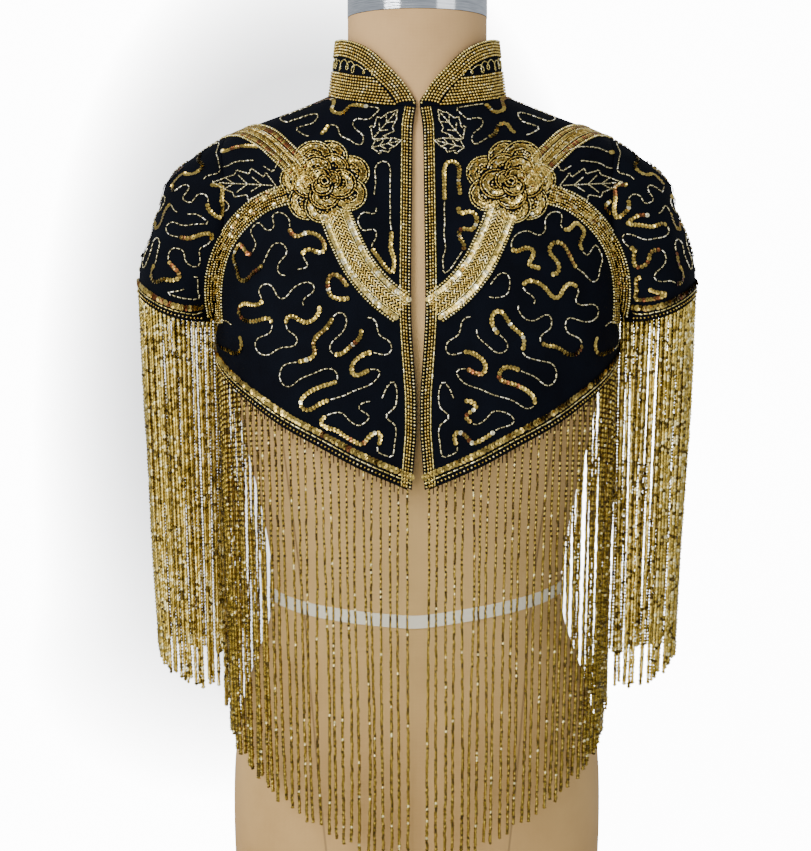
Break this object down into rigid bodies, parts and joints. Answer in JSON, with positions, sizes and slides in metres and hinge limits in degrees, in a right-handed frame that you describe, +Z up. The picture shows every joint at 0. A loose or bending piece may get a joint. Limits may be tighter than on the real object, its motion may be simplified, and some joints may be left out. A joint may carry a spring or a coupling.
{
  "type": "bolero jacket on dress form",
  "caption": "Short open-front bolero with wing collar, cap sleeves, raised beaded roses and long bead fringe, worn by a limbless dress form.",
  "frame": {"origin": "centre of the dress form's flat underside", "axes": "+Z up along the form, -Y towards the front, +X towards the wearer's left"},
  "size_m": [0.4746, 0.2567, 0.7994],
  "materials": {
    "velvet": "matte",
    "beading": "satin",
    "fringe": "satin",
    "cover": "matte",
    "tape": "matte",
    "cap": "polished"
  },
  "bodies": {
    "root": {"form_torso": "cover", "waist_tape": "tape", "neck_cap": "cap", "front_left": "velvet", "front_right": "velvet", "back": "velvet", "sleeve_left": "velvet", "sleeve_right": "velvet", "collar": "beading", "fringe_front_left": "fringe", "fringe_front_right": "fringe", "fringe_back": "fringe", "fringe_sleeve_left": "fringe", "fringe_sleeve_right": "fringe"}
  },
  "joints": []
}
